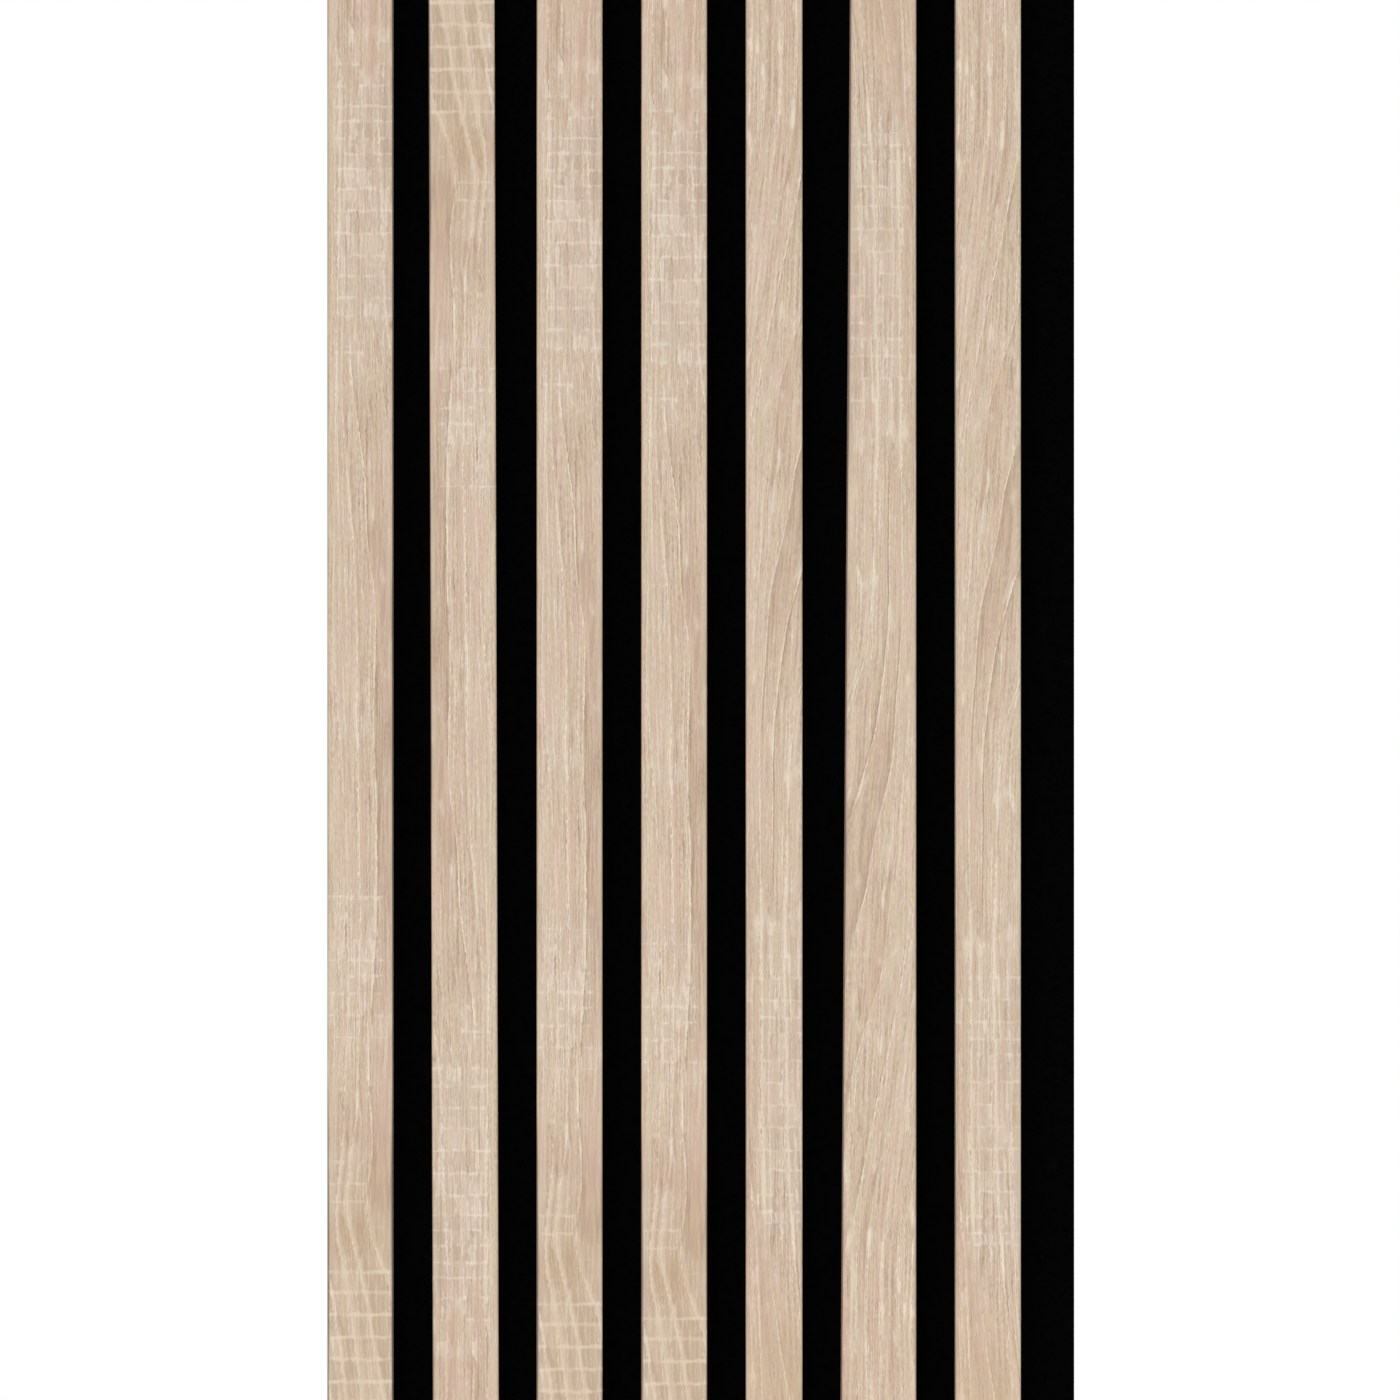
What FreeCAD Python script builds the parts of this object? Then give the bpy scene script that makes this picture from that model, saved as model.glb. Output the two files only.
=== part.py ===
import FreeCAD
import Part
import math
import os

# Acoustic slat wall panel: decor-wrapped fibreboard slats on a black felt backing.
# The slats are glued to the felt and held by wire staples driven through it from behind.
# Millimetres. X runs across the panel, to the right for someone facing it, and Z up along the slats.
# The felt's back lies against the wall in the plane Y = 0, the room is towards -Y,
# and the origin is the middle of the back.

# Felt backing
PANEL_LENGTH = 600.0
FELT_THICKNESS = 9.0
FELT_MARGIN = 21.6  # bare felt beside the last slat, where the next panel's first slat follows

# Slats, counted from the left: the first is flush with the felt's left edge
SLAT_COUNT = 7
SLAT_WIDTH = 26.4
SLAT_GAP = 15.6
SLAT_DEPTH = 12.0
SLAT_EDGE_RADIUS = 0.8

# Three slats stray from the even pattern
LEANING_SLAT = 2
LEAN_AT_HEAD = 1.4  # to the left
LEAN_AT_FOOT = 0.4  # to the right
NARROW_SLAT = 5
NARROW_SLAT_TRIM = 3.7  # ripped off its right edge
FLARED_SLAT = 6
FLARE_AT_FOOT = 4.0  # its left edge runs out to the left

# Wire staples, with their crowns across the slats
STAPLE_CROWN = 12.8
STAPLE_WIRE_THICKNESS = 0.65
STAPLE_WIRE_WIDTH = 0.95
STAPLE_BEND_RADIUS = 0.5
STAPLE_POINT = 1.6  # length of the slanted leg ends
STAPLE_SINK = 0.4  # the crown is pressed this far into the felt's back
STAPLE_BITE = 5.6  # how far the legs reach into a slat
STAPLE_END_MARGIN = 60.0
STAPLE_SPACING = 160.0  # at most

felt_width = SLAT_COUNT * SLAT_WIDTH + (SLAT_COUNT - 1) * SLAT_GAP + FELT_MARGIN
left_edge = -felt_width / 2
head = PANEL_LENGTH / 2
foot = -PANEL_LENGTH / 2
felt_front = -FELT_THICKNESS
slat_front = felt_front - SLAT_DEPTH
depth_axis = FreeCAD.Vector(0, 1, 0)


def slat_edges(number):
    """X of a slat's edges: (left at head, right at head, left at foot, right at foot)."""
    left = left_edge + (number - 1) * (SLAT_WIDTH + SLAT_GAP)
    right = left + SLAT_WIDTH
    if number == LEANING_SLAT:
        return left - LEAN_AT_HEAD, right - LEAN_AT_HEAD, left + LEAN_AT_FOOT, right + LEAN_AT_FOOT
    if number == NARROW_SLAT:
        right -= NARROW_SLAT_TRIM
    left_at_foot = left - FLARE_AT_FOOT if number == FLARED_SLAT else left
    return left, right, left_at_foot, right


def slat_middle(number, z):
    """X of a slat's centre line at height z."""
    left_at_head, right_at_head, left_at_foot, right_at_foot = slat_edges(number)
    at_head = (left_at_head + right_at_head) / 2
    at_foot = (left_at_foot + right_at_foot) / 2
    return at_foot + (at_head - at_foot) * (z - foot) / PANEL_LENGTH


def slat(number):
    """A square-ended bar that lies on the felt, with its two front edges rounded."""
    left_at_head, right_at_head, left_at_foot, right_at_foot = slat_edges(number)
    corners = [
        FreeCAD.Vector(left_at_foot, slat_front, foot),
        FreeCAD.Vector(right_at_foot, slat_front, foot),
        FreeCAD.Vector(right_at_head, slat_front, head),
        FreeCAD.Vector(left_at_head, slat_front, head),
    ]
    face = Part.Face(Part.makePolygon(corners + corners[:1]))
    bar = face.extrude(depth_axis * SLAT_DEPTH)
    return bar.makeFillet(SLAT_EDGE_RADIUS, long_front_edges(bar))


def long_front_edges(bar):
    """The edges in a bar's front plane that run from its foot to its head."""
    def runs_up_the_front(edge):
        box = edge.BoundBox
        in_front_plane = math.isclose(box.YMin, slat_front) and math.isclose(box.YMax, slat_front)
        return in_front_plane and math.isclose(box.ZLength, PANEL_LENGTH)
    return [edge for edge in bar.Edges if runs_up_the_front(edge)]


def line(start, end):
    return Part.LineSegment(start, end).toShape()


def bend(centre, radius, from_angle):
    """A quarter circle in the XY plane, from an angle in degrees onwards."""
    def at(degrees):
        angle = math.radians(degrees)
        return centre + FreeCAD.Vector(math.cos(angle), math.sin(angle), 0) * radius
    return Part.Arc(at(from_angle), at(from_angle + 45), at(from_angle + 90)).toShape()


def staple_body(outer_edges):
    """A staple of wire width: its inner side is the same for all, and its outer side is given."""
    half = STAPLE_CROWN / 2
    inner = half - STAPLE_WIRE_THICKNESS
    tip = felt_front - STAPLE_BITE
    bend_y = -STAPLE_SINK - STAPLE_WIRE_THICKNESS - STAPLE_BEND_RADIUS
    bend_x = inner - STAPLE_BEND_RADIUS
    crown_y = bend_y + STAPLE_BEND_RADIUS
    left_tip = FreeCAD.Vector(-half, tip, 0)
    right_tip = FreeCAD.Vector(half, tip, 0)
    left_notch = FreeCAD.Vector(-inner, tip + STAPLE_POINT, 0)
    right_notch = FreeCAD.Vector(inner, tip + STAPLE_POINT, 0)
    inner_edges = [
        line(left_tip, left_notch),
        line(left_notch, FreeCAD.Vector(-inner, bend_y, 0)),
        bend(FreeCAD.Vector(-bend_x, bend_y, 0), STAPLE_BEND_RADIUS, 90),
        line(FreeCAD.Vector(-bend_x, crown_y, 0), FreeCAD.Vector(bend_x, crown_y, 0)),
        bend(FreeCAD.Vector(bend_x, bend_y, 0), STAPLE_BEND_RADIUS, 0),
        line(FreeCAD.Vector(inner, bend_y, 0), right_notch),
        line(right_notch, right_tip),
    ]
    outline = Part.Wire(Part.__sortEdges__(inner_edges + outer_edges))
    bar = Part.Face(outline).extrude(FreeCAD.Vector(0, 0, STAPLE_WIRE_WIDTH))
    bar.translate(FreeCAD.Vector(0, 0, -STAPLE_WIRE_WIDTH / 2))
    return bar


def staple():
    """A bent wire staple, its crown just under the felt's back and its legs towards the room."""
    half = STAPLE_CROWN / 2
    tip = felt_front - STAPLE_BITE
    radius = STAPLE_BEND_RADIUS + STAPLE_WIRE_THICKNESS
    bend_x = half - radius
    bend_y = -STAPLE_SINK - radius
    return staple_body([
        line(FreeCAD.Vector(-half, tip, 0), FreeCAD.Vector(-half, bend_y, 0)),
        bend(FreeCAD.Vector(-bend_x, bend_y, 0), radius, 90),
        line(FreeCAD.Vector(-bend_x, -STAPLE_SINK, 0), FreeCAD.Vector(bend_x, -STAPLE_SINK, 0)),
        bend(FreeCAD.Vector(bend_x, bend_y, 0), radius, 0),
        line(FreeCAD.Vector(half, bend_y, 0), FreeCAD.Vector(half, tip, 0)),
    ])


def staple_pocket():
    """What a staple pushes aside: its own form, with the dent over its crown open to the back."""
    half = STAPLE_CROWN / 2
    tip = felt_front - STAPLE_BITE
    corners = [
        FreeCAD.Vector(-half, tip, 0),
        FreeCAD.Vector(-half, 0, 0),
        FreeCAD.Vector(half, 0, 0),
        FreeCAD.Vector(half, tip, 0),
    ]
    return staple_body([line(start, end) for start, end in zip(corners, corners[1:])])


def staple_heights():
    """Evenly spaced heights between the end margins, no further apart than the staple spacing."""
    run = PANEL_LENGTH - 2 * STAPLE_END_MARGIN
    spaces = math.ceil(run / STAPLE_SPACING)
    return [foot + STAPLE_END_MARGIN + run * row / spaces for row in range(spaces + 1)]


def down_the_slat(shape, number):
    """Copies of a shape on a slat's centre line, one at each staple height."""
    places = [FreeCAD.Vector(slat_middle(number, z), 0, z) for z in staple_heights()]
    return [shape.translated(place) for place in places]


numbers = range(1, SLAT_COUNT + 1)
pockets = {number: Part.makeCompound(down_the_slat(staple_pocket(), number)) for number in numbers}
staples = [copy for number in numbers for copy in down_the_slat(staple(), number)]

felt_corner = FreeCAD.Vector(left_edge, felt_front, foot)
felt = Part.makeBox(felt_width, FELT_THICKNESS, PANEL_LENGTH, felt_corner)

nodes = {f"slat_{number}": slat(number).cut(pockets[number]) for number in numbers}
nodes["felt_backing"] = felt.cut(Part.makeCompound(list(pockets.values())))
nodes["slat_staples"] = Part.makeCompound(staples)

os.makedirs("parts", exist_ok=True)
for name, shape in nodes.items():
    shape.exportStep(f"parts/{name}.step")
    print(name, len(shape.Solids), "solids", round(shape.Volume, 1), "mm3", shape.isValid())
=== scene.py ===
import math

import bpy
import numpy as np
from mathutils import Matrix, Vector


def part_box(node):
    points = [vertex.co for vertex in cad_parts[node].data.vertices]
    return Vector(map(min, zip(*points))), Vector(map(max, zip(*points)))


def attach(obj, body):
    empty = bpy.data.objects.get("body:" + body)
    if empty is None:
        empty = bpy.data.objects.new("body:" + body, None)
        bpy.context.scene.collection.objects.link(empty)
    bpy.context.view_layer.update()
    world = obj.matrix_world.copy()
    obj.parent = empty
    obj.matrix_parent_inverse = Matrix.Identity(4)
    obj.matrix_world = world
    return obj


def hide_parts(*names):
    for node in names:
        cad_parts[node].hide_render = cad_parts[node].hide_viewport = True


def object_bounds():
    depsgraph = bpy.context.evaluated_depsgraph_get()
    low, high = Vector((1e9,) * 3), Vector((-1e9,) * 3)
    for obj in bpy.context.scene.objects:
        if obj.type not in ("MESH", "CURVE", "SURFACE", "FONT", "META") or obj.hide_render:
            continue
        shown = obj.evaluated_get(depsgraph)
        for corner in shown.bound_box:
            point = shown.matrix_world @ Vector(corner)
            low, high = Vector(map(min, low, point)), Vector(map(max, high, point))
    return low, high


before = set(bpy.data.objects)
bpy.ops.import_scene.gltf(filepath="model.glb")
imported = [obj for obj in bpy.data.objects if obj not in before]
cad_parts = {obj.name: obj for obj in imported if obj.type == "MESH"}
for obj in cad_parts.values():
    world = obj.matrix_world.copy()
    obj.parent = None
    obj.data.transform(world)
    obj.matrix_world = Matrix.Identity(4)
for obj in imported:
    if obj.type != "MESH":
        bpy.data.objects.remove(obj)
cad_low, cad_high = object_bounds()

# Slats: fibreboard strips, each wrapped lengthwise in a printed foil with the look of rough-sawn pale oak.
# The foil runs round both front edges, which are rounded so that it doesn't crack there.
# The ends are sawn square after wrapping, so they show the brown core inside the foil's thin edge.
SLAT_NAMES = sorted(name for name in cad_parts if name.startswith("slat_") and name != "slat_staples")
SLAT_EDGE_RADIUS = 0.0008
FOIL_THICKNESS = 0.0003
SLAT_ROWS = 300
FRONT_STEPS = 44
CORNER_STEPS = 5
SIDE_STEPS = 6
SHARP_ANGLE = math.radians(40)
MM = 0.001


def cad_points(node):
    """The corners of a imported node's mesh, one row each."""
    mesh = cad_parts[node].data
    flat = np.empty(len(mesh.vertices) * 3, np.float32)
    mesh.vertices.foreach_get("co", flat)
    return flat.reshape(-1, 3).astype(float)


def slat_edges(node, heights):
    """A slat's left and right edge at each height: straight lines between its corners, which are the
    outermost points within a millimetre of its foot and its head."""
    points = cad_points(node)
    foot, head = points[:, 2].min(), points[:, 2].max()
    at_foot = points[points[:, 2] < foot + MM, 0]
    at_head = points[points[:, 2] > head - MM, 0]
    left = np.interp(heights, [foot, head], [at_foot.min(), at_head.min()])
    right = np.interp(heights, [foot, head], [at_foot.max(), at_head.max()])
    return left, right


def tubes(name, rings):
    """Closed skins over stacks of rings: on each stack, point (i, j) is joined to its neighbours round
    ring i and on ring i + 1, and the first and last rings are filled by flat caps."""
    count, rows, columns = rings.shape[:3]
    index = np.arange(count * rows * columns).reshape(count, rows, columns)
    beside = np.roll(index, -1, axis=2)
    quads = np.stack([index[:, :-1], beside[:, :-1], beside[:, 1:], index[:, 1:]], axis=-1).reshape(-1, 4)
    faces = quads.tolist() + index[:, 0, ::-1].tolist() + index[:, -1].tolist()
    mesh = bpy.data.meshes.new(name)
    mesh.from_pydata(rings.reshape(-1, 3).tolist(), [], faces)
    mesh.polygons.foreach_set("use_smooth", np.ones(len(faces), bool))
    mesh.set_sharp_from_angle(angle=SHARP_ANGLE)
    piece = bpy.data.objects.new(name, mesh)
    bpy.context.scene.collection.objects.link(piece)
    return piece


def wrapped_section(depth):
    """The slat's outline from its back left corner round the front to its back right corner.
    Each point is (share of the width, offset across, distance from the front, offset round the foil)."""
    radius = SLAT_EDGE_RADIUS
    turn = np.linspace(0, math.pi / 2, CORNER_STEPS + 1)
    side_back = np.linspace(depth, radius, SIDE_STEPS + 1)[:-1]
    zeros = np.zeros(SIDE_STEPS)
    side = np.stack([zeros, zeros, side_back, radius - radius * math.pi / 2 - (side_back - radius)], 1)
    corner = np.stack([0 * turn, radius * (1 - np.cos(turn)), radius * (1 - np.sin(turn)),
                       radius - radius * (math.pi / 2 - turn)], 1)
    share = np.linspace(0, 1, FRONT_STEPS + 1)[1:-1]
    front = np.stack([share, radius * (1 - 2 * share), 0 * share, radius * (1 - 2 * share)], 1)
    left = np.concatenate([side, corner])
    right = left[::-1] * [0, -1, 1, -1] + [1, 0, 0, 0]
    return np.concatenate([left, front, right])


def slat_heights(node):
    """Even rows from a slat's foot to its head."""
    low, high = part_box(node)
    return np.linspace(low.z, high.z, SLAT_ROWS + 1)


def slat_rings(node, section, heights):
    """Carries the section up the slat: across = left edge + width * share + offset, and depth as given.
    At each end one more ring, a foil's thickness further in, leaves a rim round the core."""
    low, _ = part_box(node)
    left, right = slat_edges(node, heights)
    share, offset, depth = section[:, 0], section[:, 1], section[:, 2]
    across = left[:, None] + (right - left)[:, None] * share + offset
    rings = np.empty((len(heights), len(section), 3))
    rings[..., 0] = across
    rings[..., 1] = low.y + depth
    rings[..., 2] = heights[:, None]

    def rim(ring):
        """The ring drawn in by the foil's thickness, towards the middle of its box."""
        middle = (ring.min(0) + ring.max(0)) / 2
        half = (ring.max(0) - ring.min(0)) / 2
        shrink = np.ones(3)
        shrink[:2] = 1 - FOIL_THICKNESS / half[:2]
        return middle + (ring - middle) * shrink

    return np.concatenate([[rim(rings[0])], rings, [rim(rings[-1])]])


# The two printed boards, in millimetres across and down from the print's top left corner.
# Grain lines are (down, across) points, from left to right, and keep their order all the way down.
# Rest places are where the lines would lie if they ran straight down. Fibres run straight at a fibre
# lean of 0 and follow the lines at 1.
# A vein is (line, from, to, strength, width), pale above zero strength and dark below.
# A band is (from rest place, to rest place, from, to, strength): browner wood beside a grain line.
# A shade is (left, right, from, to, strength): wood browner or, below zero, paler than its surroundings;
# where it lies along a slat's edge it is painted shade.
# An olive part is given like a shade, and from warm_from down the wood is warmer.
# A nick is (across, down, half width, half height, strength), brown or, below zero, pale.
# A sawn patch is (from, to, left, right, strength), and saw marks are the heights of its cross lines.
# On the ladder, from one height to another, they run right across. The side board's lies below its foot.
# The print start keeps the fibres of one board from repeating on the other.
heart_board = {
    "grain_lines": [
        [(-60, -2.4), (498, -1.6), (522, 2.4), (543, 5.6), (610, 9.8)],
        [(-60, 4.2), (48, 5.4), (140, 4.2), (277, 3.8), (301, 5.8), (464, 6.2), (494, 4.2), (510, 7.2),
         (534, 11.0), (610, 16.0)],
        [(-60, 7.6), (121, 6.8), (157, 5.8), (221, 10.8), (291, 12.2), (366, 13.2), (442, 12.2), (490, 8.8),
         (510, 13.7), (547, 20.1), (610, 33.0)],
        [(-60, 10.9), (26, 9.8), (157, 10.4), (191, 15.1), (217, 15.9), (240, 19.3), (285, 18.7), (342, 20.1),
         (394, 18.5), (422, 16.6), (462, 18.1), (482, 16.5), (494, 17.9), (518, 25.7), (610, 37.0)],
        [(-60, 24.1), (16, 20.5), (84, 22.0), (137, 25.0), (169, 30.0), (610, 46.0)],
    ],
    "rest_places": [-2.0, 4.8, 10.5, 17.0, 30.0],
    "veins": [
        (0, 510, 620, 0.8, 1.4), (1, -60, 460, 0.6, 0.7), (1, 468, 560, 1.0, 1.6), (2, -60, 470, 0.5, 0.7),
        (2, 476, 580, 1.0, 1.8), (3, -60, 130, 0.6, 0.7), (3, 145, 476, -0.9, 0.7), (3, 482, 525, 1.0, 1.8),
        (4, -60, 140, 0.8, 0.6),
    ],
    "bands": [
        (9.5, 16.0, -60, 50, 0.9), (25.3, 29.6, -60, 75, 1.1), (30.0, 36.0, -60, 60, 0.7),
        (17.0, 21.5, 228, 355, 0.55), (17.0, 20.0, 355, 450, 0.25), (17.0, 22.0, 222, 245, 0.5),
        (-20.0, 45.0, 458, 620, 0.95), (17.0, 28.0, 474, 500, 0.9), (-20.0, 17.0, 490, 530, 0.6),
        (22.0, 45.0, 540, 620, 0.5),
    ],
    "sawn_patches": [
        (14, 42, 5, 26, 0.5), (38, 124, 6, 28, 1.0), (124, 134, 12, 28, 0.6), (140, 154, 4, 12, 0.5),
        (289, 294, 3, 18, 0.5), (358, 402, 0, 20, 0.65), (404, 419, 3, 22, 0.4), (464, 486, 1, 15, 0.8),
        (490, 504, 20, 28, 0.8),
    ],
    "ladder": (506, 620),
    "saw_marks": [
        17, 26, 35, 43, 49, 56, 62, 68, 76, 85, 94, 103, 111, 120, 127, 142, 151, 292, 301, 361, 369, 378,
        386, 392, 399, 408, 416, 467, 475.5, 482.5, 493, 501, 511, 519, 528, 537, 546, 555, 563, 572, 581,
        590,
    ],
    "warm_from": 440,
    # The first two shades darken the left edge at the head and the foot: painted shade on the rounded edge.
    "shades": [
        (-1.0, 0.9, -60, 10, 0.8), (-1.0, 0.9, 450, 660, 0.5), (5.0, 10.0, -10, 50, 0.6),
        (23.0, 25.0, 55, 115, 0.8), (18.8, 20.2, 10, 75, 0.7), (3.0, 12.0, 205, 340, -0.2),
    ],
    "olive_parts": [(0.8, 3.2, -60, 660, 0.9), (24.8, 25.8, -60, 660, 0.8)],
    "nicks": [(25.1, 130.6, 0.9, 2.6, 2.6), (23.8, 127.0, 1.5, 1.6, -1.6), (24.0, 136.0, 0.9, 2.4, 1.0)],
    "fibre_lean": 0.0,
    "print_start": 0.0,
}
side_board = {
    "grain_lines": [
        [(-60, 25.0), (60, 24.1), (105, 15.3), (137, 8.8), (161, 4.8), (221, 1.6), (362, 0.8), (462, 1.6),
         (501, 4.3), (563, 7.2), (610, 9.8)],
        [(-60, 30.0), (80, 29.0), (121, 24.1), (142, 17.3), (155, 14.1), (181, 11.3), (205, 8.0), (249, 4.0),
         (362, 3.2), (462, 4.0), (522, 7.6), (610, 14.0)],
        [(-60, 36.0), (121, 32.0), (173, 24.1), (187, 20.5), (207, 16.9), (225, 12.9), (237, 10.4),
         (265, 8.0), (289, 6.4), (362, 6.4), (462, 7.2), (522, 9.6), (563, 13.7), (610, 18.5)],
        [(-60, 42.0), (161, 37.0), (225, 24.1), (235, 20.9), (253, 16.1), (271, 13.7), (293, 11.7),
         (342, 10.7), (462, 9.6), (514, 10.4), (539, 13.7), (579, 20.9), (610, 25.0)],
        [(-60, 48.0), (201, 40.0), (269, 24.9), (281, 20.9), (293, 19.3), (358, 16.1), (442, 16.9),
         (490, 18.5), (522, 21.7), (547, 25.7), (610, 36.0)],
    ],
    "rest_places": [0.0, 2.8, 6.2, 10.6, 16.2],
    "veins": [
        (0, 60, 165, -0.6, 0.7), (1, 120, 250, -0.7, 0.7), (2, 175, 290, -0.9, 0.8), (3, 225, 350, -0.9, 0.7),
        (4, 268, 330, -0.7, 0.7), (4, 340, 500, 0.9, 1.2), (2, 360, 500, 0.9, 1.1), (3, 380, 490, 0.7, 0.8),
        (3, 515, 620, -0.8, 0.9), (0, 480, 560, 0.7, 0.7),
    ],
    "bands": [
        (6.2, 10.6, 185, 250, 0.4), (6.2, 10.6, 185, 345, 0.35), (2.8, 5.0, 140, 190, 0.4),
        (-6.0, -3.5, 40, 60, 0.5), (10.6, 14.0, 540, 620, 0.6), (-19.0, -16.0, -60, 25, 0.4),
        (6.8, 9.8, 385, 425, 0.8), (18.6, 20.2, 385, 440, 0.7), (22.0, 40.0, 380, 550, 0.8),
        (-2.0, 9.0, 500, 620, 0.8), (-20.0, 60.0, 365, 480, 0.35),
    ],
    "sawn_patches": [(368, 392, 7, 28, 0.5), (388, 493, 7.5, 28, 0.95), (505, 513, 4, 10, 0.4)],
    "ladder": (900, 910),
    "saw_marks": [376, 384, 393, 402, 409, 415, 426, 435, 444, 453, 462, 470, 480, 487, 491, 510],
    "warm_from": 500,
    "shades": [(2.6, 8.0, 100, 320, -0.25), (15.0, 18.0, 305, 390, -0.4)],
    "olive_parts": [(24.8, 25.8, -60, 660, 0.8), (-20, 60, 90, 460, 0.35)],
    "nicks": [],
    "fibre_lean": 0.35,
    "print_start": 3000.0,
}

# Where no line was drawn, beyond the first and the last one, growth rings lie this far apart.
OUTER_RING = 6.0
OUTER_RINGS = 10

# How softly the parts of a print end, in millimetres across and down.
LINE_REACH = (2.5, 3.5)
LINE_CLEARANCE = (0.7, 1.4)
VEIN_END = 10
BAND_SIDE = 0.6
SHADE_SIDE = 0.8
SHADE_END = 25
PATCH_SIDE = 4
PATCH_END = 8
LADDER_END = 6
OLIVE_END = 40
WARM_RUN = 60

# What each slat's foil was printed from: (board, place, turned). The board starts that far below the
# print head or, turned end for end, has that place of its own at the print head.
PRINT_HEAD = 0.2813
slat_prints = {
    "slat_1": (heart_board, 0.0, False),
    "slat_2": (heart_board, 556.2, True),
    "slat_3": (heart_board, 12.9, False),
    "slat_4": (heart_board, 18.7, False),
    "slat_5": (side_board, 0.0, False),
    "slat_6": (side_board, 545.2, True),
    "slat_7": (side_board, 8.6, False),
}

# Painted shade on the slats' rounded front edges: the print is darkened there as the edges' shade, more on
# some slats than on others.
# Each slat has its (left, right) strength, which fades inwards over the reach.
EDGE_SHADE_REACH = 0.5
painted_edge_shades = {
    "slat_1": (4.0, 5.0),
    "slat_2": (4.0, 0.5),
    "slat_3": (4.0, 0.5),
    "slat_4": (4.0, 1.5),
    "slat_5": (3.6, 0.0),
    "slat_6": (8.0, 2.5),
    "slat_7": (4.5, 0.5),
}


def smooth_step(value, low, high):
    """Rises from 0 at low to 1 at high, level at both ends."""
    share = np.clip((value - low) / (high - low), 0, 1)
    return share * share * (3 - 2 * share)


def window(value, low, high, soft):
    """1 between low and high, falling to 0 over the soft width outside each."""
    return smooth_step(value, low - soft, low) * (1 - smooth_step(value, high, high + soft))


def flowing(points, heights):
    """A smooth line through (down, across) points: a cubic between each two, which has at each point the
    slope that its neighbours give."""
    down, across = np.array(points, float).T
    slope = np.gradient(across, down)
    at = np.clip(np.searchsorted(down, heights) - 1, 0, len(down) - 2)
    span = down[at + 1] - down[at]
    share = (heights - down[at]) / span
    blend = share * share * (3 - 2 * share)
    start_pull = share * (1 - share) ** 2 * span * slope[at]
    end_pull = -share * share * (1 - share) * span * slope[at + 1]
    return across[at] * (1 - blend) + across[at + 1] * blend + start_pull + end_pull


def print_fields(board, across, down):
    """What the foil shows at each point, as smooth fields that the print's shader sharpens.
    The ring coordinate is the number of grain lines passed on the way across, with the share of the way to
    the next one. The grain coordinate is that way in millimetres with every line at its rest place."""
    lines = np.stack([flowing(points, down) for points in board["grain_lines"]])
    last = len(lines) - 1
    ring = (across - lines[0]) / OUTER_RING
    spacing = np.full(across.shape, OUTER_RING)
    for number in range(last):
        gap = lines[number + 1] - lines[number]
        beyond = across > lines[number]
        ring = np.where(beyond, number + (across - lines[number]) / gap, ring)
        spacing = np.where(beyond, gap, spacing)
    ring = np.where(across > lines[last], last + (across - lines[last]) / OUTER_RING, ring)
    spacing = np.where(across > lines[last], OUTER_RING, spacing)
    rest = board["rest_places"]
    outside = OUTER_RINGS * OUTER_RING
    places = [rest[0] - outside, *rest, rest[-1] + outside]
    grain = np.interp(ring, [-OUTER_RINGS, *range(last + 1), last + OUTER_RINGS], places)

    away = np.sort(np.abs(across - lines), axis=0)
    nearest = np.abs(across - lines).argmin(0)
    vein = np.zeros(across.shape)
    vein_width = np.ones(across.shape)
    for number, start, end, strength, width in board["veins"]:
        here = (nearest == number) & (down > start - VEIN_END) & (down < end + VEIN_END)
        vein += np.where(here, strength * window(down, start, end, VEIN_END), 0)
        vein_width = np.where(here, width, vein_width)
    vein *= (1 - smooth_step(away[0], *LINE_REACH)) * smooth_step(away[1] - away[0], *LINE_CLEARANCE)

    brown = np.zeros(across.shape)
    for low, high, start, end, strength in board["bands"]:
        brown += strength * window(grain, low, high, BAND_SIDE) * window(down, start, end, SHADE_END)
    for left, right, start, end, strength in board["shades"]:
        brown += strength * window(across, left, right, SHADE_SIDE) * window(down, start, end, SHADE_END)
    for middle, height, wide, tall, strength in board["nicks"]:
        brown += strength * np.exp(-((across - middle) / wide) ** 2 - ((down - height) / tall) ** 2)

    sawn = np.zeros(across.shape)
    for start, end, left, right, strength in board["sawn_patches"]:
        patch = strength * window(across, left, right, PATCH_SIDE) * window(down, start, end, PATCH_END)
        sawn = np.maximum(sawn, patch)
    ladder = window(down, *board["ladder"], LADDER_END)
    marks = np.array(board["saw_marks"], float)
    phase = np.interp(down, marks, np.arange(len(marks)))
    between = np.clip(np.searchsorted(marks, down) - 1, 0, len(marks) - 2)
    pitch = np.diff(marks)[between]

    tone = smooth_step(down, board["warm_from"], board["warm_from"] + WARM_RUN)
    for left, right, start, end, strength in board["olive_parts"]:
        olive = strength * window(across, left, right, SHADE_SIDE) * window(down, start, end, OLIVE_END)
        tone = tone - (1 + tone) * olive
    fibre_place = across + (grain - across) * board["fibre_lean"]
    return {
        "print_grain": np.stack([ring, down + board["print_start"], phase], -1),
        "print_figure": np.stack([vein_width, vein, brown], -1),
        "print_sawn": np.stack([sawn, ladder, spacing], -1),
        "print_place": np.stack([fibre_place, tone, pitch], -1),
    }


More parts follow.
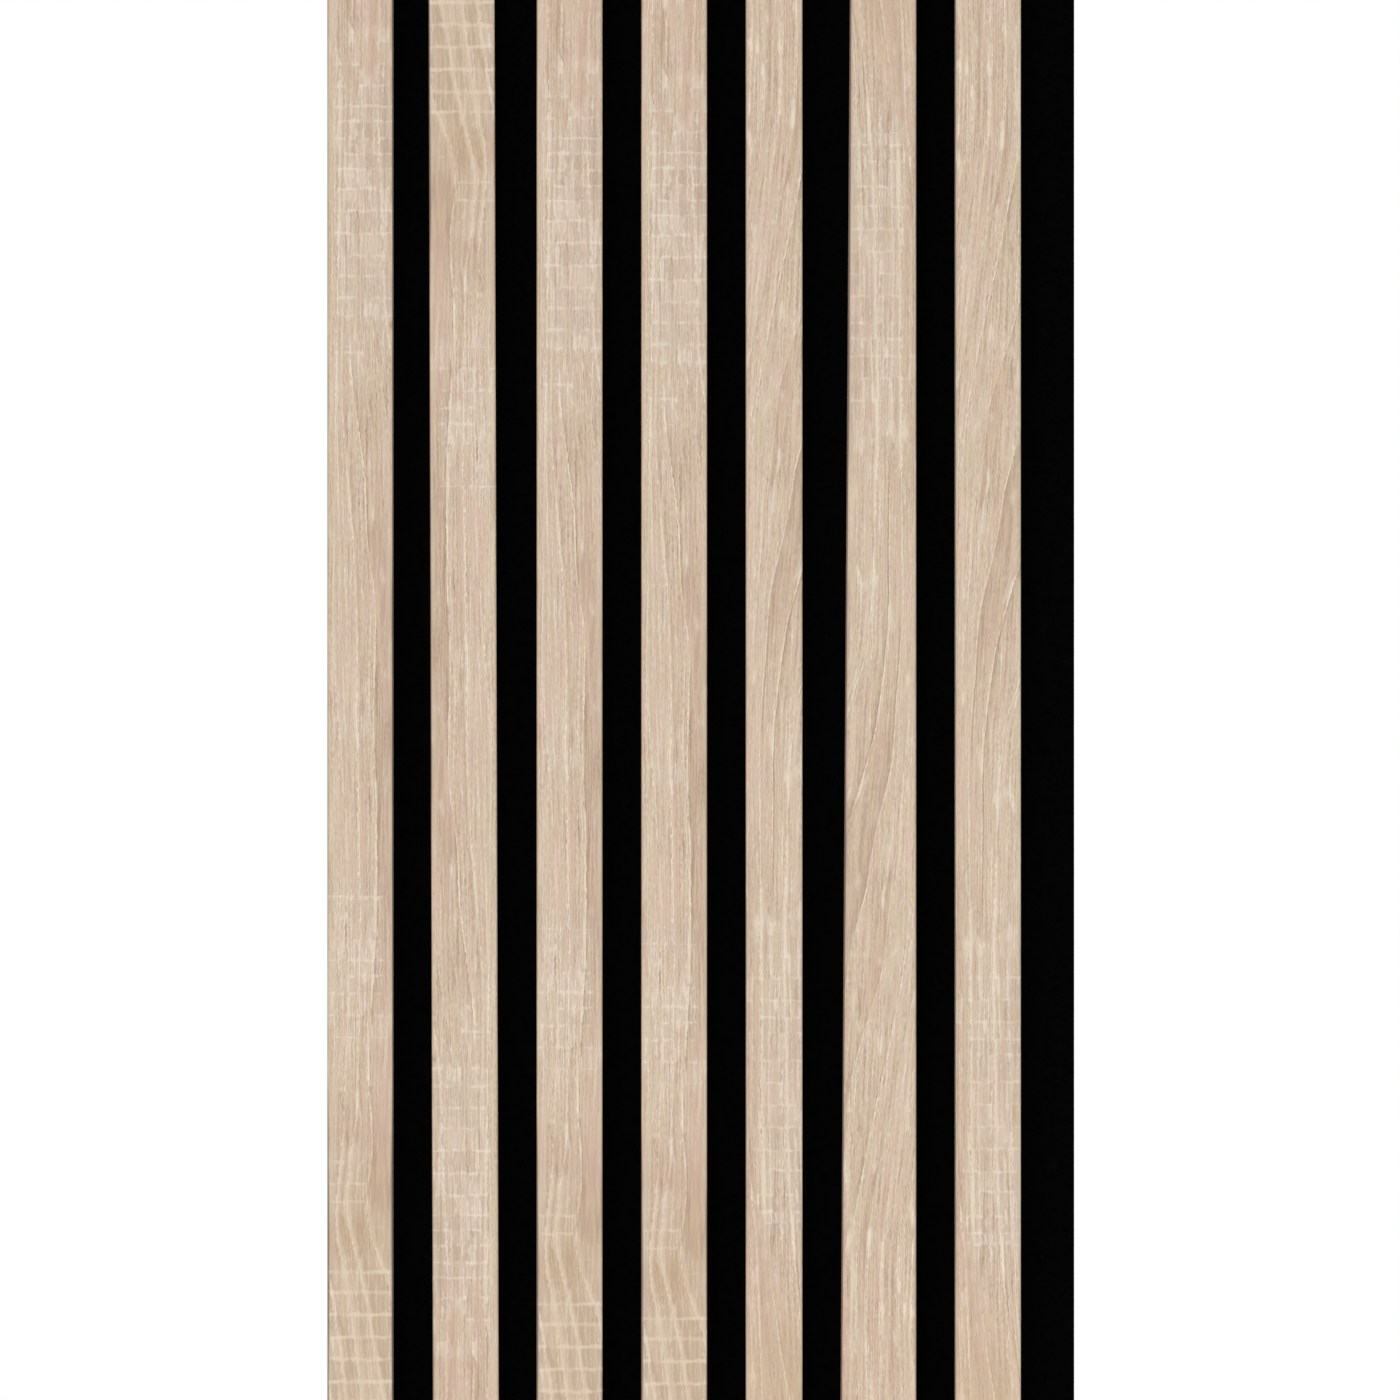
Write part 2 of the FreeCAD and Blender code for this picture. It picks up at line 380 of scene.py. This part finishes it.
class Shade:
    """A value that varies over a surface. Sums, products and steps of shades become Math nodes."""

    def __init__(self, tree, socket):
        self.tree = tree
        self.socket = socket

    def maths(self, operation, *values):
        """The operation on the given shades and plain numbers."""
        node = self.tree.nodes.new("ShaderNodeMath")
        node.operation = operation
        for socket, value in zip(node.inputs, values):
            if isinstance(value, Shade):
                self.tree.links.new(value.socket, socket)
            else:
                socket.default_value = value
        return Shade(self.tree, node.outputs[0])

    def __add__(self, other):
        return self.maths("ADD", self, other)

    __radd__ = __add__

    def __mul__(self, other):
        return self.maths("MULTIPLY", self, other)

    __rmul__ = __mul__

    def __sub__(self, other):
        return self.maths("SUBTRACT", self, other)

    def __rsub__(self, other):
        return self.maths("SUBTRACT", other, self)

    def __truediv__(self, other):
        return self.maths("DIVIDE", self, other)

    def __abs__(self):
        return self.maths("ABSOLUTE", self)

    def rising(self, low, high):
        """0 up to low, 1 from high on, and a smooth step between."""
        node = self.tree.nodes.new("ShaderNodeMapRange")
        node.interpolation_type = "SMOOTHSTEP"
        self.tree.links.new(self.socket, node.inputs["Value"])
        node.inputs["From Min"].default_value = low
        node.inputs["From Max"].default_value = high
        return Shade(self.tree, node.outputs[0])

    def falling(self, low, high):
        """1 up to low, 0 from high on, and a smooth step between."""
        return 1 - self.rising(low, high)


def parts_of(tree, socket):
    """The three parts of a vector, as shades."""
    node = tree.nodes.new("ShaderNodeSeparateXYZ")
    tree.links.new(socket, node.inputs[0])
    return [Shade(tree, output) for output in node.outputs]


LAYER_SHIFT = (7.31, 3.17)


def clouds(across, along, cell, layer, detail=1.0, roughness=0.5):
    """Soft random clouds about 0.5 over two shades. A cell is (wide, tall), and each layer has its own."""
    tree = across.tree
    place = tree.nodes.new("ShaderNodeCombineXYZ")
    for socket, shade, size, shift in zip(place.inputs, (across, along), cell, LAYER_SHIFT):
        moved = shade.maths("MULTIPLY_ADD", shade, 1 / size, layer * shift)
        tree.links.new(moved.socket, socket)
    noise = tree.nodes.new("ShaderNodeTexNoise")
    noise.noise_dimensions = "2D"
    tree.links.new(place.outputs[0], noise.inputs["Vector"])
    noise.inputs["Scale"].default_value = 1.0
    noise.inputs["Detail"].default_value = detail
    noise.inputs["Roughness"].default_value = roughness
    return Shade(tree, noise.outputs[0])


def srgb(red, green, blue):
    """A colour given by its 8-bit screen values, as linear light with full alpha."""
    screen = np.array([red, green, blue]) / 255
    linear = np.where(screen <= 0.04045, screen / 12.92, ((screen + 0.055) / 1.055) ** 2.4)
    return (*linear.tolist(), 1.0)


def ramp(shade, stops):
    """A colour that runs through the given stops, each (position, colour), as the shade goes from 0 to 1."""
    node = shade.tree.nodes.new("ShaderNodeValToRGB")
    elements = node.color_ramp.elements
    while len(elements) < len(stops):
        elements.new(0.5)
    for element, (position, colour) in zip(elements, stops):
        element.position = position
        element.color = colour
    shade.tree.links.new(shade.socket, node.inputs[0])
    return node.outputs[0]


def tinted(shade, under, over):
    """A colour under another: the shade says how much of the upper one shows."""
    node = shade.tree.nodes.new("ShaderNodeMix")
    node.data_type = "RGBA"
    shade.tree.links.new(shade.socket, node.inputs[0])
    for socket, value in zip(node.inputs[6:8], (under, over)):
        if isinstance(value, bpy.types.NodeSocket):
            shade.tree.links.new(value, socket)
        else:
            socket.default_value = value
    return node.outputs[2]


# The foil's printed colours: the wood from dark to pale, and the tints that lie over it.
WOOD_TONES = [
    (0.0, srgb(168, 143, 122)), (0.25, srgb(195, 171, 150)), (0.5, srgb(209, 189.3, 169.8)),
    (0.75, srgb(221, 205, 186)), (1.0, srgb(234, 219, 199)),
]
PLAIN_WOOD = 0.405  # its place on that scale
PINK_WOOD = srgb(214, 182, 167)
YELLOW_WOOD = srgb(211, 194, 158)
COOL_WOOD = srgb(206, 194, 180)
WARM_WOOD = srgb(205, 181, 150)
OLIVE_WOOD = srgb(206, 195, 168)
# The darkest brown: painted shade on the rounded front edges, and the middle of the darkest nicks
EDGE_SHADE_AND_NICK_BROWN = srgb(92, 76, 68)

PRINT_PARTS = ("Grain", "Figure", "Sawn", "Place")
RING_WIDTH = 5.5
FINE_RINGS = 2.6
FINE_RING_WIDTH = 0.385


def rough_sawn_oak():
    """The foil's print as a node group. Lengths in it are millimetres of the print."""
    group = bpy.data.node_groups.new("rough_sawn_oak", "ShaderNodeTree")
    for name in PRINT_PARTS:
        group.interface.new_socket(name, in_out="INPUT", socket_type="NodeSocketVector")
    group.interface.new_socket("Colour", in_out="OUTPUT", socket_type="NodeSocketColor")
    group.interface.new_socket("Relief", in_out="OUTPUT", socket_type="NodeSocketFloat")
    given = group.nodes.new("NodeGroupInput")
    ring, down, phase = parts_of(group, given.outputs["Grain"])
    vein_width, vein, brown = parts_of(group, given.outputs["Figure"])
    patch, ladder, spacing = parts_of(group, given.outputs["Sawn"])
    across, tone, pitch = parts_of(group, given.outputs["Place"])

    # Fibres wander to each side on their way down, in long bows and, where the saw tore them, short kinks
    grain = ring * RING_WIDTH
    sawn = (patch + (clouds(across, down, (4, 14), 17) - 0.5) * 2.4).rising(0.15, 0.85)
    torn = sawn.maths("MAXIMUM", sawn, ladder)
    sway = (clouds(grain, down, (6, 40), 1) - 0.5) * 3.0
    kink = (clouds(grain, down, (2.4, 4.2), 2, 3.0, 0.75) - 0.5) * (1.9 + torn * 0.5)
    fibre_place = across * 0.88 + grain * 0.12 + sway * 0.3 + kink * 0.55
    stripe = clouds(fibre_place, down, (0.42, 45), 13) - 0.5
    fibre = clouds(fibre_place, down, (0.5, 2.4), 7) - 0.5

    # Growth rings: smooth brown wood starts sharply at each line and pales towards the next one's vein.
    # Finer rings lie between the lines. A dark line frays less than a pale one.
    beads = 0.5 + clouds(fibre_place, down, (1.6, 6), 3, 2.0, 0.6).rising(0.36, 0.6) * 0.5

    def growth(turns, width, layer, tall):
        """A ring's passed share and number, the ways from and to its lines, late wood and strength."""
        past = turns.maths("FRACT", turns)
        whole = turns.maths("FLOOR", turns)
        strength = clouds(whole * 7.7, down, (1, tall), layer).rising(0.3, 0.62)
        return past, whole, past * width, (1 - past) * width, (1 - past) * (1 - past) * strength, strength

    dark = (vein * -1).rising(0.0, 1.0)
    frayed = (kink * 0.7 + fibre * 1.1 + stripe * 0.9) * (1 - dark * 0.6)
    turns = ring + (sway * 0.4 + frayed) / spacing
    past, whole, from_line, to_line, late_wood, strength = growth(turns, spacing, 4, 90)
    fine_turns = turns * FINE_RINGS + clouds(grain, down, (9, 120), 5) * 1.4
    _, _, _, to_fine, fine_wood, fine_strength = growth(fine_turns, spacing * FINE_RING_WIDTH, 6, 60)
    edge_vein = to_line.falling(0.25, 0.8) * (0.45 + strength * 0.55)
    fine_vein = to_fine.falling(0.15, 0.6) * fine_strength
    veins = (edge_vein + fine_vein * 0.8) * beads * spacing.rising(1.0, 5.0)

    # Short pale dashes, crisp pale hairs and dark ones beside them
    dashes = fibre.rising(0.03, 0.2) * (0.35 + past * 0.65)
    hair_field = clouds(fibre_place, down, (1.8, 50), 8, 0.0)
    shown = clouds(fibre_place, down, (2.4, 7), 9).rising(0.38, 0.56)
    pale_hair = abs(hair_field - 0.48).falling(0.03, 0.12) * shown
    dark_hair = abs(hair_field - 0.64).falling(0.02, 0.1) * shown

    # Veins and dark lines at their own places
    beside = from_line.maths("MINIMUM", from_line, to_line) / vein_width
    pale_line = vein.rising(0.0, 1.0) * beside.falling(0.3, 0.9) * (0.5 + beads * 0.5 + fibre * 1.2)
    dark_line = dark * from_line.falling(0.1, 0.6) * (0.5 + beads * 0.5)
    pale_side = dark * to_line.falling(0.2, 0.7) * beads

    # Saw marks: a pale cross line at each whole phase, brightest where it meets a vein.
    # The wood between two marks and two lines has a tone of its own.
    ragged = (clouds(across, phase, (4.0, 0.5), 10, 2.0) - 0.5) * 1.6
    shifted = phase + 0.5
    apart = (shifted.maths("FRACT", shifted) - 0.5) * pitch + ragged
    mark = abs(apart).falling(0.1, 0.9)
    dash = clouds(across, phase, (4.2, 0.6), 11, 1.5).rising(0.38, 0.58)
    worn = clouds(across, phase, (8, 0.9), 12).rising(0.3, 0.6)
    rung = abs(apart).falling(0.15, 1.2)
    marks = sawn * mark * dash * (0.65 + veins * 0.5) + ladder * rung * (0.3 + worn * 0.65)
    row = phase.maths("FLOOR", phase) * 5.3
    cell = (clouds(whole * 3.7 + fine_turns * 0.4, row, (1, 1), 18) - 0.5) * (torn + ladder * 0.5)
    limed = veins * (0.46 + torn * 0.94) + pale_hair * (0.12 + torn * 0.73)

    # How pale the wood is: fibres, veins, lines and marks on plain wood, with calmer fibres where it is brown
    calm = 1 - brown.rising(0.0, 1.2) * 0.5 - ladder * 0.2
    comb = stripe.rising(0.03, 0.15) * 0.2 - stripe.falling(-0.16, -0.06) * 0.06
    fibres = stripe * (0.2 + past * 0.3) + comb + fibre * (0.24 + past * 0.42) + dashes * 0.08
    level = (PLAIN_WOOD + (fibres - fine_wood * 0.12 - dark_hair * 0.14) * calm - late_wood * 0.19
             + limed * 0.52 + pale_line * 0.48 + pale_side * 0.42 - dark_line * 0.44
             - brown * 0.2 + marks * 0.72 + cell * 0.64)
    wood = ramp(level, WOOD_TONES)

    # Tints that follow the fibres, the saw and the place on the board, and painted shade at the rounded
    # edges, which also deepens the darkest nicks
    rosy = brown.rising(0.3, 1.0) * (1 - tone.rising(0.0, 1.0))
    pink = clouds(grain, down, (2.4, 70), 14).rising(0.46, 0.7) * 0.33 + rosy * 0.18
    pinker = tinted(pink, wood, PINK_WOOD)
    yellow = clouds(fibre_place, down, (1.2, 16), 19).rising(0.46, 0.7)
    yellower = tinted(yellow * 0.36, pinker, YELLOW_WOOD)
    cooler = tinted(torn * 0.25, yellower, COOL_WOOD)
    warmer = tinted(tone.rising(0.0, 1.0) * 0.35, cooler, WARM_WOOD)
    olive = (tone * -1).rising(0.0, 1.0) * clouds(across, down, (2.0, 60), 16).rising(0.3, 0.6)
    toned = tinted(olive * 0.4, warmer, OLIVE_WOOD)
    # Painted shade: where the brown runs highest, on the rounded front edges, the colour goes towards a dark
    # brown
    edge_shaded = tinted(brown.rising(2.0, 4.0) * 0.8, toned, EDGE_SHADE_AND_NICK_BROWN)

    # The press plate's fibre relief
    relief = clouds(across, down, (0.7, 22), 15)

    result = group.nodes.new("NodeGroupOutput")
    group.links.new(edge_shaded, result.inputs["Colour"])
    group.links.new(relief.socket, result.inputs["Relief"])
    return group


def attribute(tree, name):
    """What a mesh carries under that name, as a vector."""
    node = tree.nodes.new("ShaderNodeAttribute")
    node.attribute_name = name
    return node.outputs["Vector"]


def object_place(tree):
    """The place on the object, as three shades in metres."""
    return parts_of(tree, tree.nodes.new("ShaderNodeTexCoord").outputs["Object"])


def new_finish(name, plain):
    """A new material, its node tree and its Principled shader, whose plain values are set by socket."""
    material = bpy.data.materials.new(name)
    material.use_nodes = True
    surface = material.node_tree.nodes["Principled BSDF"]
    for socket, value in plain.items():
        surface.inputs[socket].default_value = value
    return material, material.node_tree, surface


def emboss(surface, height, strength, distance):
    """Tilts a shader's normal as a relief of the given height does, with the distance in metres."""
    tree = height.tree
    bump = tree.nodes.new("ShaderNodeBump")
    bump.inputs["Strength"].default_value = strength
    bump.inputs["Distance"].default_value = distance
    tree.links.new(height.socket, bump.inputs["Height"])
    tree.links.new(bump.outputs[0], surface.inputs["Normal"])


def oak_foil(print_group):
    """Printed and embossed foil with a matt lacquer."""
    material, tree, surface = new_finish("oak_foil", {"Roughness": 0.62, "Specular IOR Level": 0.25})
    print_node = tree.nodes.new("ShaderNodeGroup")
    print_node.node_tree = print_group
    for part in PRINT_PARTS:
        tree.links.new(attribute(tree, "print_" + part.lower()), print_node.inputs[part])
    tree.links.new(print_node.outputs["Colour"], surface.inputs["Base Color"])
    emboss(surface, Shade(tree, print_node.outputs["Relief"]), 0.25, 0.0002)
    return material


FIBREBOARD_TONES = [(0.2, srgb(128, 98, 68)), (0.5, srgb(171, 138, 102)), (0.8, srgb(200, 172, 138))]


def sawn_core():
    """Fibreboard cut across: pressed brown fibre with pale and dark flecks."""
    material, tree, surface = new_finish("sawn_core", {"Roughness": 0.9, "Specular IOR Level": 0.15})
    x, y, _ = object_place(tree)
    flecks = clouds(x, y, (0.0006, 0.0003), 1, 3.0, 0.7)
    pressed = abs(clouds(x, y, (0.004, 0.002), 2) - 0.5)
    colour = ramp(flecks + pressed * 0.4, FIBREBOARD_TONES)
    tree.links.new(colour, surface.inputs["Base Color"])
    emboss(surface, flecks, 0.4, 0.0002)
    return material


foil = oak_foil(rough_sawn_oak())
core = sawn_core()
for slat_name in SLAT_NAMES:
    slat_low, slat_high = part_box(slat_name)
    section = wrapped_section(slat_high.y - slat_low.y)
    heights = slat_heights(slat_name)
    rings = slat_rings(slat_name, section, heights)
    slat = tubes("wrapped_" + slat_name, rings[None])

    left_edge, right_edge = slat_edges(slat_name, heights)
    width = (right_edge - left_edge)[:, None]
    board, slid, turned = slat_prints[slat_name]
    from_left = (width * section[:, 0] + section[:, 3]) / MM
    from_right = width / MM - from_left
    from_head = np.repeat((PRINT_HEAD - heights)[:, None], len(section), 1) / MM
    if turned:
        fields = print_fields(board, from_right, slid - from_head)
    else:
        fields = print_fields(board, from_left, from_head - slid)
    # Painted shade on the rounded front edges, added to the print's brown field
    left_shade, right_shade = painted_edge_shades[slat_name]
    brown = fields["print_figure"][..., 2]
    brown += left_shade * np.exp(-np.abs(from_left) / EDGE_SHADE_REACH)
    brown += right_shade * np.exp(-np.abs(from_right) / EDGE_SHADE_REACH)
    for field, values in fields.items():
        with_rims = np.concatenate([values[:1], values, values[-1:]])
        layer = slat.data.attributes.new(field, "FLOAT_VECTOR", "POINT")
        layer.data.foreach_set("vector", with_rims.astype(np.float32).ravel())

    slat.data.materials.append(foil)
    slat.data.materials.append(core)
    for cap in slat.data.polygons[-2:]:
        cap.material_index = 1
    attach(slat, "root")
    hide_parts(slat_name)

# Felt backing: one sheet of needled polyester felt, dyed black and cut square to the panel's size.
# The slats are glued to its front, and staples dimple its back where they pull it against them.
# Its cut edges are a little soft, because the fibres there spring back.
FELT_EDGE_RADIUS = 0.0006
FELT_EDGE_STEPS = 4
FELT_STEP = 0.008
DIMPLE_DEPTH = 0.0008
DIMPLE_REACH = 0.0028
DIMPLE_STEP = 0.0007
STAPLE_CROWN = 0.0128
STAPLE_WIRE_THICKNESS = 0.00065
STAPLE_WIRE_WIDTH = 0.00095
STAPLE_ROWS = 4
felt_low, felt_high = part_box("felt_backing")
staples_low, staples_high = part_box("slat_staples")
half_wire = STAPLE_WIRE_WIDTH / 2
staple_heights = np.linspace(staples_low.z + half_wire, staples_high.z - half_wire, STAPLE_ROWS)
staple_places = np.array([
    (middle, height)
    for name in SLAT_NAMES
    for middle, height in zip(np.mean(slat_edges(name, staple_heights), axis=0), staple_heights)
])


def grid_lines(low, high, middles, reach):
    """Lines from low to high: at the felt's wide step, and at the dimples' fine one within reach of each
    middle."""
    wide = np.linspace(low, high, round((high - low) / FELT_STEP) + 1)
    near = np.arange(-reach, reach, DIMPLE_STEP)
    fine = (np.asarray(middles)[:, None] + near).ravel()
    lines = np.unique(np.concatenate([wide, fine]).round(5))
    return lines[(lines >= low) & (lines <= high)]


def dimple(across, height):
    """How deep staples pull the back in: a bell, exp(-(distance to the crown / reach) squared)."""
    sunk = np.zeros(np.broadcast(across, height).shape)
    for middle, level in staple_places:
        beyond = np.maximum(np.abs(across - middle) - STAPLE_CROWN / 2, 0)
        sunk = np.maximum(sunk, np.exp(-(beyond ** 2 + (height - level) ** 2) / DIMPLE_REACH ** 2))
    return sunk * DIMPLE_DEPTH


def felt_rings():
    """The sheet's section carried up from foot to head: front, right edge, dimpled back and left edge.
    Each corner is a quarter circle, and the rings at both ends draw in along one.
    With the rings comes the share of a dimple's depth that each point is pulled in by."""
    radius = FELT_EDGE_RADIUS
    turn = np.linspace(0, math.pi / 2, FELT_EDGE_STEPS + 1)
    out, rise = radius * np.cos(turn), radius * np.sin(turn)
    left, right = felt_low.x + radius, felt_high.x - radius
    front, back = felt_low.y + radius, felt_high.y - radius
    middles = np.unique(staple_places[:, 0].round(3))
    back_lines = grid_lines(left, right, middles, STAPLE_CROWN / 2 + 2 * DIMPLE_REACH)[1:-1]
    front_lines = np.linspace(left, right, round((right - left) / FELT_STEP) + 1)[1:-1]
    across = np.concatenate([left - out, front_lines, right + rise,
                             right + out, back_lines[::-1], left - rise])
    depth = np.concatenate([front - rise, np.full(front_lines.shape, felt_low.y), front - out,
                            back + rise, np.full(back_lines.shape, felt_high.y), back + out])
    on_back = depth == felt_high.y
    heights = grid_lines(felt_low.z + radius, felt_high.z - radius, staple_heights, 2.5 * DIMPLE_REACH)
    pulled = np.where(on_back, dimple(across, heights[:, None]), 0)
    rings = np.empty((len(heights), len(across), 3))
    rings[..., 0] = across
    rings[..., 1] = depth - pulled
    rings[..., 2] = heights[:, None]

    def drawn_in(ring, direction):
        """Rings beyond an end ring, each a step further along the edge's quarter circle."""
        middle = (ring.min(0) + ring.max(0)) / 2
        half = (ring.max(0) - ring.min(0)) / 2
        shrink = 1 - np.outer(radius - out[1:], [1, 1, 0]) / np.maximum(half, radius)
        ends = middle + (ring - middle) * shrink[:, None]
        ends[..., 2] += direction * rise[1:, None]
        return ends

    skin = np.concatenate([drawn_in(rings[0], -1)[::-1], rings, drawn_in(rings[-1], 1)])
    ends = [FELT_EDGE_STEPS, FELT_EDGE_STEPS]
    return skin, np.pad(pulled / DIMPLE_DEPTH, [ends, [0, 0]])


SINGED_BLACK = [(0.1, (0.0002, 0.0004, 0.0002, 1)), (0.9, (0.0014, 0.0018, 0.0015, 1))]
RAW_BLACK = [(0.1, (0.002, 0.002, 0.002, 1)), (0.9, (0.026, 0.026, 0.027, 1))]
SINGED_DEPTH = 0.0004
RAW_DEPTH = 0.0016
THREAD_LEANS = (0.9, -0.7, 0.1)


def black_felt():
    """Matted black fibres: thin threads in three directions, a little greyer than the mat under them.
    The front is singed smooth and deep black, and the raw back and cut edges show more of the fibre."""
    material, tree, surface = new_finish("black_felt", {
        "Roughness": 1.0, "Specular IOR Level": 0.0, "Sheen Weight": 0.03, "Sheen Roughness": 0.45,
    })
    x, y, z = object_place(tree)
    threads = None
    for layer, lean in enumerate(THREAD_LEANS):
        along = x * math.cos(lean) + z * math.sin(lean) + y * 0.4
        beside = z * math.cos(lean) - x * math.sin(lean) + y * 0.9
        thread = abs(clouds(beside, along, (0.0009, 0.006), layer) - 0.5).falling(0.0, 0.05)
        threads = thread if threads is None else threads.maths("MAXIMUM", threads, thread)
    matted = clouds(x + y, z + y, (0.004, 0.004), 5, 3.0, 0.6)
    needled = clouds(x + y, z, (0.0022, 0.03), 6, 2.0)
    # Partly painted shade: the felt is darkened in the staples' dimples, the hollows that shade falls in, and
    # for the pressed fibres there.
    pressed = parts_of(tree, attribute(tree, "felt_dimple_shade"))[0]
    level = threads * 0.45 + matted * 0.7 + needled * 0.4 - 0.2 - pressed * 0.4
    behind = y.rising(felt_low.y + SINGED_DEPTH, felt_low.y + RAW_DEPTH)
    colour = tinted(behind, ramp(level, SINGED_BLACK), ramp(level, RAW_BLACK))
    tree.links.new(colour, surface.inputs["Base Color"])
    emboss(surface, level, 0.7, 0.0004)
    return material


felt_skin, felt_dimple_shade = felt_rings()
felt = tubes("needled_felt", felt_skin[None])
# The dimples' share, which the felt's colour is darkened by: painted shade in the hollows
pull_layer = felt.data.attributes.new("felt_dimple_shade", "FLOAT", "POINT")
pull_layer.data.foreach_set("value", felt_dimple_shade.astype(np.float32).ravel())
felt.data.materials.append(black_felt())
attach(felt, "root")
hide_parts("felt_backing")

# Staples: bent galvanised wire, driven through the felt into the slats from behind while the glue sets.
# The crown lies across the slat in its own dimple, and both legs end in a slanted point.
STAPLE_BEND_RADIUS = 0.0005
STAPLE_POINT = 0.0016
BEND_STEPS = 6
WIRE_SIDES = 16
ZINC_TONES = [(0.3, (0.32, 0.33, 0.35, 1)), (0.7, (0.54, 0.55, 0.55, 1))]


def staple_rings(middle, height):
    """A squared-off oval, |x|^4 + |z|^4 = 1, carried from one leg's point over the crown to the other's.
    The path is straight legs and crown with a quarter circle between them, and the points are slanted."""
    half_thick, half_wide = STAPLE_WIRE_THICKNESS / 2, STAPLE_WIRE_WIDTH / 2
    radius = STAPLE_BEND_RADIUS + half_thick
    leg = STAPLE_CROWN / 2 - half_thick
    crown = staples_high.y - half_thick
    turn = np.linspace(0, math.pi / 2, BEND_STEPS + 1)
    left = np.stack([-leg + radius * (1 - np.cos(turn)), crown - radius * (1 - np.sin(turn))], 1)
    left = np.concatenate([[[-leg, staples_low.y]], left])
    line = np.concatenate([left, left[::-1] * [-1, 1]])
    travel = np.gradient(line, axis=0)
    travel[[0, -1]] = [[0, 1], [0, -1]]
    travel /= np.linalg.norm(travel, axis=1)[:, None]
    angle = np.linspace(0, 2 * math.pi, WIRE_SIDES + 1)[:-1]
    thick = half_thick * np.sign(np.cos(angle)) * np.sqrt(np.abs(np.cos(angle)))
    wide = half_wide * np.sign(np.sin(angle)) * np.sqrt(np.abs(np.sin(angle)))
    rings = np.empty((len(line), WIRE_SIDES, 3))
    rings[..., 0] = line[:, :1] - travel[:, 1:] * thick
    rings[..., 1] = line[:, 1:] + travel[:, :1] * thick
    rings[..., 2] = height + wide
    outer = STAPLE_CROWN / 2 - np.abs(rings[[0, -1], :, 0])
    rings[[0, -1], :, 1] += STAPLE_POINT * outer / STAPLE_WIRE_THICKNESS
    rings[..., 0] += middle
    return rings


def galvanised_wire():
    """Dull zinc: grey metal with small cloudy crystals."""
    material, tree, surface = new_finish("galvanised_wire", {"Metallic": 1.0})
    x, y, z = object_place(tree)
    crystals = clouds(x + y, z - y, (0.0008, 0.0006), 1, 2.0)
    tree.links.new(ramp(crystals, ZINC_TONES), surface.inputs["Base Color"])
    dull = 0.3 + crystals * 0.3
    tree.links.new(dull.socket, surface.inputs["Roughness"])
    return material


staples = tubes("wire_staples", np.stack([staple_rings(middle, height) for middle, height in staple_places]))
staples.data.materials.append(galvanised_wire())
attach(staples, "root")
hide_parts("slat_staples")

# Camera, floor and light: a soft white studio, seen straight on through a long lens.
# The frame is 562 mm high at the slats' faces, so it cuts both ends of the panel as the photograph does.
FRAME_HEIGHT = 0.562
FRAME_MIDDLE = -0.0004
LENS = 600.0
SENSOR = 36.0
CAMERA_REACH = 100.0
camera_data = bpy.data.cameras.new("camera")
camera_data.lens = LENS
camera_data.sensor_width = SENSOR
camera_data.clip_end = CAMERA_REACH
camera = bpy.data.objects.new("camera", camera_data)
camera.location = (FRAME_MIDDLE, cad_low.y - FRAME_HEIGHT * LENS / SENSOR, 0.0)
camera.rotation_euler = (math.pi / 2, 0, 0)
bpy.context.scene.collection.objects.link(camera)
bpy.context.scene.camera = camera
bpy.context.scene.view_settings.view_transform = "Standard"


def seen_rays(tree):
    """1 where a surface is looked at, straight on or by way of metal and glass, and 0 where it only sends
    light on."""
    path = tree.nodes.new("ShaderNodeLightPath")
    seen = Shade(tree, path.outputs["Is Camera Ray"])
    for name in ("Is Glossy Ray", "Is Transmission Ray"):
        seen = seen.maths("MAXIMUM", seen, Shade(tree, path.outputs[name]))
    return seen


SKY_LIGHT = 0.59
SOFTBOX_SPREAD = math.radians(50)
world = bpy.data.worlds.new("studio")
bpy.context.scene.world = world
world.use_nodes = True
sky = world.node_tree
backdrop = sky.nodes["Background"]
backdrop.inputs["Color"].default_value = (1, 1, 1, 1)
strength = seen_rays(sky) * (1 - SKY_LIGHT) + SKY_LIGHT
sky.links.new(strength.socket, backdrop.inputs["Strength"])

for name, tilt, turn, power in (("front_softbox", 50, -25, 1.9), ("back_softbox", 60, 150, 0.9)):
    lamp_data = bpy.data.lights.new(name, "SUN")
    lamp_data.energy = power
    lamp_data.angle = SOFTBOX_SPREAD
    lamp = bpy.data.objects.new(name, lamp_data)
    lamp.rotation_euler = (math.radians(tilt), 0, math.radians(turn))
    bpy.context.scene.collection.objects.link(lamp)

FLOOR_RADIUS = 0.58
FLOOR_FADE = 0.25
FLOOR_SIDES = 96
FLOOR_SEEN = (0.8, 0.8, 0.8, 1)
FLOOR_BOUNCE = (0.67, 0.67, 0.67, 1)
turns = np.linspace(0, 2 * math.pi, FLOOR_SIDES + 1)[:-1]
rim = np.stack([np.cos(turns), np.sin(turns), 0 * turns], 1) * FLOOR_RADIUS
floor_mesh = bpy.data.meshes.new("floor")
floor_mesh.from_pydata((rim + [0, 0, cad_low.z]).tolist(), [], [list(range(len(turns)))])
floor = bpy.data.objects.new("floor", floor_mesh)
bpy.context.scene.collection.objects.link(floor)
floor_material, floor_tree, floor_surface = new_finish("pale_floor", {"Roughness": 0.9})
floor_colour = tinted(seen_rays(floor_tree), FLOOR_BOUNCE, FLOOR_SEEN)
floor_tree.links.new(floor_colour, floor_surface.inputs["Base Color"])
x, y, _ = object_place(floor_tree)
reach = x.maths("SQRT", x * x + y * y)
fade = reach.falling(FLOOR_RADIUS - FLOOR_FADE, FLOOR_RADIUS)
floor_tree.links.new(fade.socket, floor_surface.inputs["Alpha"])
floor_mesh.materials.append(floor_material)
